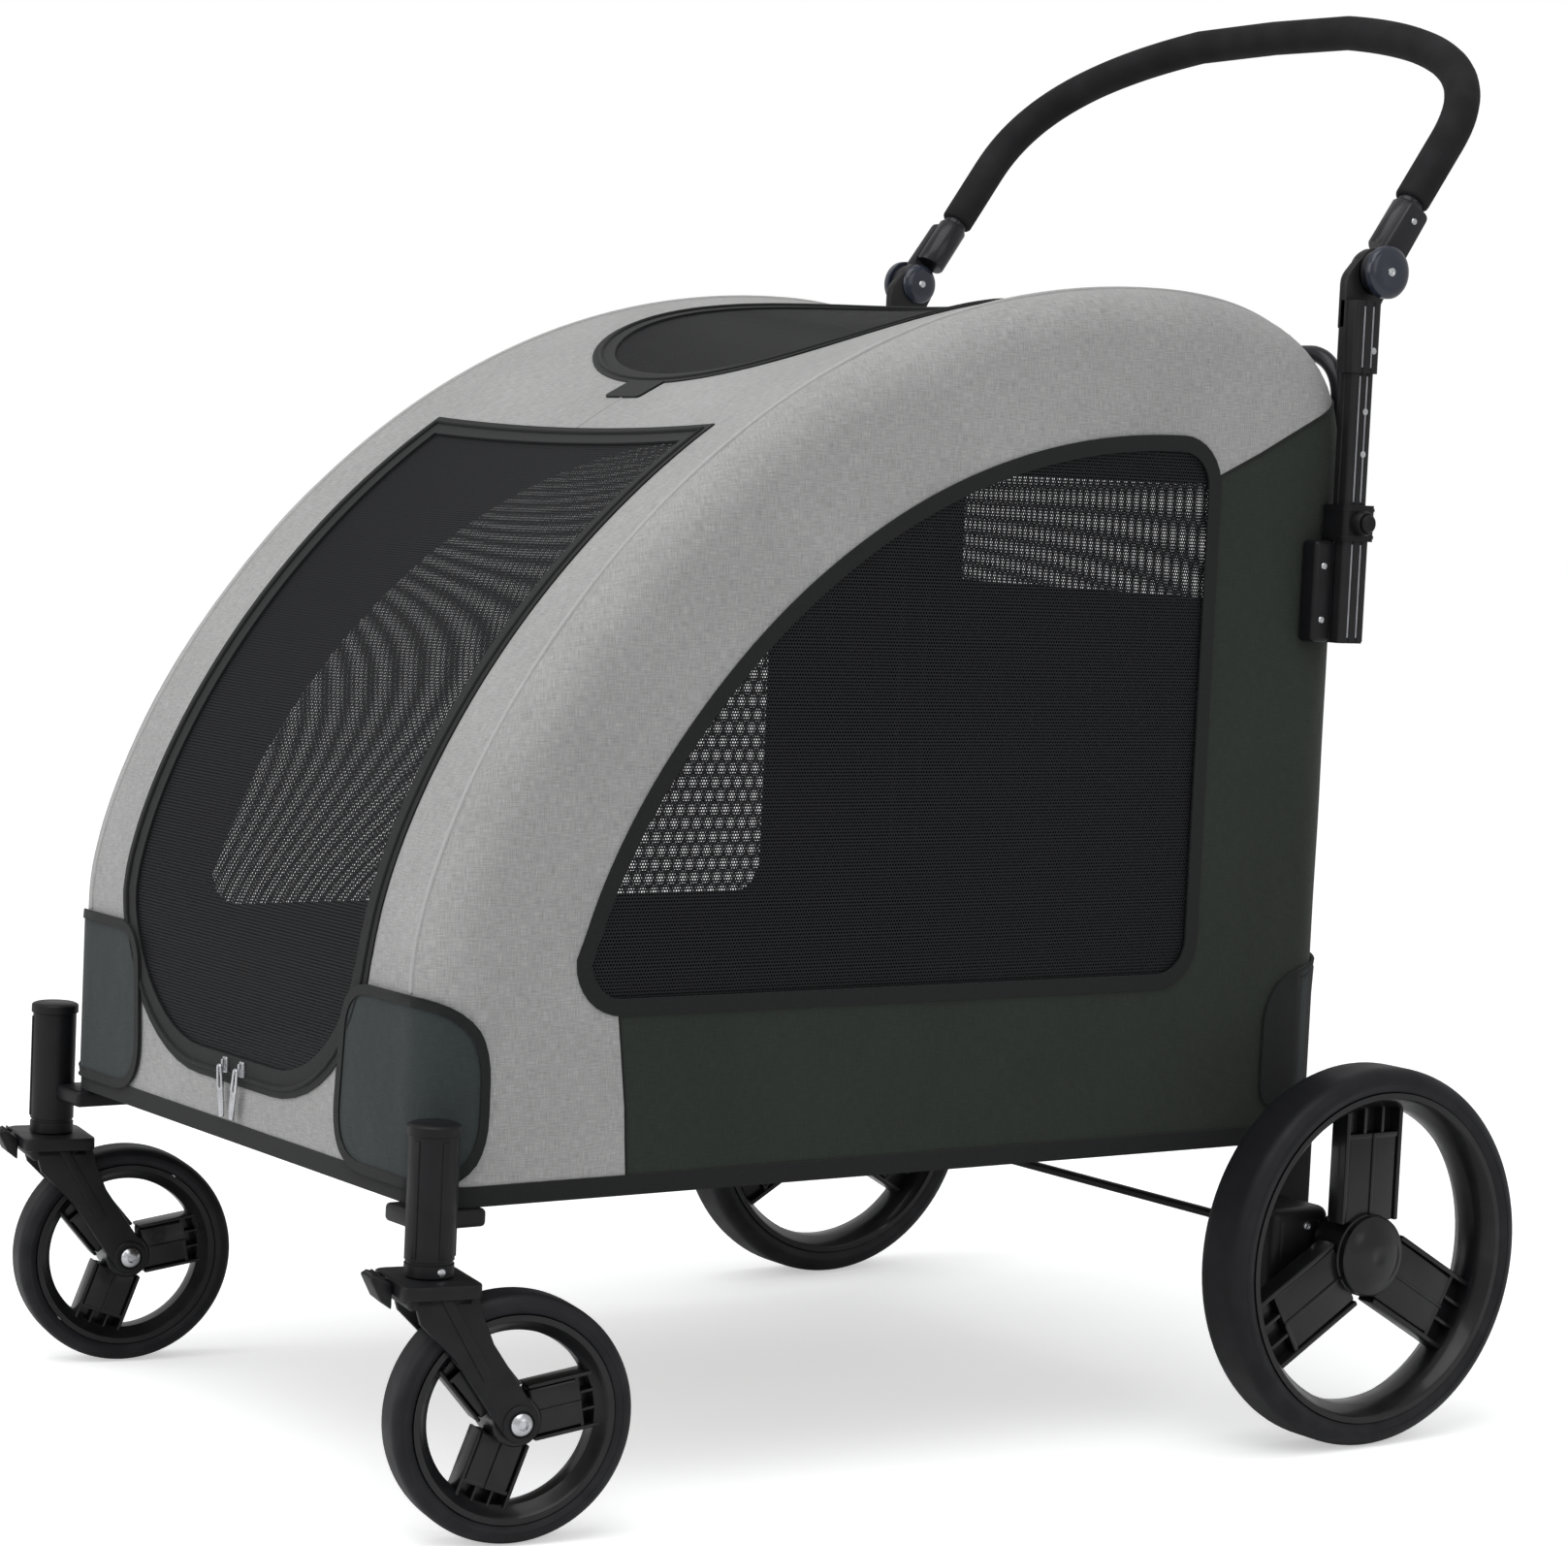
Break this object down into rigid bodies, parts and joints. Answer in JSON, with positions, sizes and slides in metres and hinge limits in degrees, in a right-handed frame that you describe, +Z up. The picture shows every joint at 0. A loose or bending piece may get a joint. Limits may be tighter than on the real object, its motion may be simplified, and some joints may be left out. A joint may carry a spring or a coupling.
{
  "type": "pet stroller",
  "caption": "Four-wheel pet stroller: arched fabric cabin with mesh windows and zipped front door, swivelling front casters, braked rear wheels, tilting telescopic handle.",
  "frame": {"origin": "on the ground, at the middle of the stroller's length and width", "axes": "+Z up; -Y is the front, where the door and the casters are; +X is the left side as the person who pushes it sees it"},
  "size_m": [0.695, 0.9364, 1.0379],
  "materials": {
    "light_fabric": "heather linen weave",
    "dark_fabric": "plain oxford weave",
    "mesh_cloth": "open mesh",
    "floor_board": "fibreboard",
    "floor_pad": "padded cloth",
    "coated_tube": "satin powder coat",
    "black_plastic": "satin moulded",
    "tyre_rubber": "matt foam rubber",
    "grip_foam": "closed-cell foam",
    "steel": "zinc plated"
  },
  "bodies": {
    "base": {"base_frame": "coated_tube", "floor_board": "floor_board", "floor_pad": "floor_pad", "rear_panel": "dark_fabric", "rear_window": "mesh_cloth", "canopy_panel": "light_fabric", "side_panel_left": "dark_fabric", "side_window_left": "mesh_cloth", "arch_pole_left": "coated_tube", "zip_slider_left": "steel", "front_corner_left": "black_plastic", "rear_bracket_left": "black_plastic", "rear_axle_left": "steel", "hinge_pin_left": "steel", "side_panel_right": "dark_fabric", "side_window_right": "mesh_cloth", "arch_pole_right": "coated_tube", "zip_slider_right": "steel", "front_corner_right": "black_plastic", "rear_bracket_right": "black_plastic", "rear_axle_right": "steel", "hinge_pin_right": "steel"},
    "door": {"door_panel": "mesh_cloth"},
    "hatch": {"roof_hatch": "mesh_cloth"},
    "brake": {"brake_bar": "black_plastic"},
    "rear_frame": {"rear_hoop": "coated_tube", "upright_sleeve_left": "coated_tube", "upright_bracket_left": "black_plastic", "height_collar_left": "black_plastic", "upright_sleeve_right": "coated_tube", "upright_bracket_right": "black_plastic", "height_collar_right": "black_plastic"},
    "slider": {"telescopic_tube_left": "coated_tube", "telescopic_tube_right": "coated_tube"},
    "handle": {"handle_tube": "coated_tube", "handle_grip": "grip_foam", "handle_knob_left": "black_plastic", "handle_knob_right": "black_plastic"},
    "zip_pull_left": {"zip_pull_left": "steel"},
    "caster_left": {"caster_fork_left": "black_plastic", "front_axle_left": "steel"},
    "swivel_lock_left": {"swivel_lock_left": "black_plastic"},
    "front_wheel_left": {"front_tyre_left": "tyre_rubber", "front_rim_left": "black_plastic"},
    "rear_wheel_left": {"rear_tyre_left": "tyre_rubber", "rear_rim_left": "black_plastic", "hub_cap_left": "black_plastic"},
    "height_button_left": {"height_button_left": "black_plastic"},
    "zip_pull_right": {"zip_pull_right": "steel"},
    "caster_right": {"caster_fork_right": "black_plastic", "front_axle_right": "steel"},
    "swivel_lock_right": {"swivel_lock_right": "black_plastic"},
    "front_wheel_right": {"front_tyre_right": "tyre_rubber", "front_rim_right": "black_plastic"},
    "rear_wheel_right": {"rear_tyre_right": "tyre_rubber", "rear_rim_right": "black_plastic", "hub_cap_right": "black_plastic"},
    "height_button_right": {"height_button_right": "black_plastic"}
  },
  "joints": [
    {"name": "rear_frame_fold", "type": "hinge", "parent": "base", "child": "rear_frame", "pos_m": [0, 0.3002, 0.258], "axis": [1, 0, 0], "range_deg": [0, 88], "deforming": ["canopy_panel", "rear_panel", "rear_window", "door_panel", "roof_hatch", "side_panel_left", "side_window_left", "arch_pole_left", "side_panel_right", "side_window_right", "arch_pole_right"]},
    {"name": "handle_height", "type": "slide", "parent": "rear_frame", "child": "slider", "axis": [0, 0, 1], "range_m": [-0.06, 0]},
    {"name": "handle_tilt", "type": "hinge", "parent": "slider", "child": "handle", "pos_m": [0, 0.3182, 0.829], "axis": [1, 0, 0], "range_deg": [-100, 35]},
    {"name": "brake_press", "type": "hinge", "parent": "base", "child": "brake", "pos_m": [0, 0.3072, 0.135], "axis": [1, 0, 0], "range_deg": [-20, 0]},
    {"name": "door_open", "type": "hinge", "parent": "base", "child": "door", "pos_m": [0, -0.1826, 0.6898], "axis": [1, 0, 0], "range_deg": [-120, 0]},
    {"name": "hatch_open", "type": "hinge", "parent": "base", "child": "hatch", "pos_m": [0, 0.1431, 0.7937], "axis": [1, 0, 0], "range_deg": [-110, 0]},
    {"name": "caster_swivel_left", "type": "hinge", "parent": "base", "child": "caster_left", "pos_m": [0.273, -0.4258, 0.2], "axis": [0, 0, 1], "continuous": true},
    {"name": "swivel_lock_press_left", "type": "hinge", "parent": "caster_left", "child": "swivel_lock_left", "pos_m": [0.26785, -0.45159, 0.15], "axis": [0.9806, -0.196, 0], "range_deg": [0, 20]},
    {"name": "front_wheel_spin_left", "type": "hinge", "parent": "caster_left", "child": "front_wheel_left", "pos_m": [0.28378, -0.37187, 0.0785], "axis": [0.9806, -0.196, 0], "continuous": true},
    {"name": "rear_wheel_spin_left", "type": "hinge", "parent": "base", "child": "rear_wheel_left", "pos_m": [0.325, 0.3072, 0.135], "axis": [1, 0, 0], "continuous": true},
    {"name": "height_button_press_left", "type": "slide", "parent": "rear_frame", "child": "height_button_left", "axis": [-1, 0, 0], "range_m": [0, 0.0025], "stiffness_N_per_m": 400, "springref_m": -0.002},
    {"name": "zip_pull_swing_left", "type": "hinge", "parent": "base", "child": "zip_pull_left", "pos_m": [0.012, -0.4264, 0.2555], "axis": [1, 0, 0], "range_deg": [-85, 0]},
    {"name": "caster_swivel_right", "type": "hinge", "parent": "base", "child": "caster_right", "pos_m": [-0.273, -0.4258, 0.2], "axis": [0, 0, 1], "continuous": true},
    {"name": "swivel_lock_press_right", "type": "hinge", "parent": "caster_right", "child": "swivel_lock_right", "pos_m": [-0.27815, -0.45159, 0.15], "axis": [0.9806, -0.196, 0], "range_deg": [0, 20]},
    {"name": "front_wheel_spin_right", "type": "hinge", "parent": "caster_right", "child": "front_wheel_right", "pos_m": [-0.26222, -0.37187, 0.0785], "axis": [0.9806, -0.196, 0], "continuous": true},
    {"name": "rear_wheel_spin_right", "type": "hinge", "parent": "base", "child": "rear_wheel_right", "pos_m": [-0.325, 0.3072, 0.135], "axis": [1, 0, 0], "continuous": true},
    {"name": "height_button_press_right", "type": "slide", "parent": "rear_frame", "child": "height_button_right", "axis": [1, 0, 0], "range_m": [0, 0.0025], "stiffness_N_per_m": 400, "springref_m": -0.002},
    {"name": "zip_pull_swing_right", "type": "hinge", "parent": "base", "child": "zip_pull_right", "pos_m": [-0.012, -0.4264, 0.2555], "axis": [1, 0, 0], "range_deg": [-85, 0]}
  ]
}
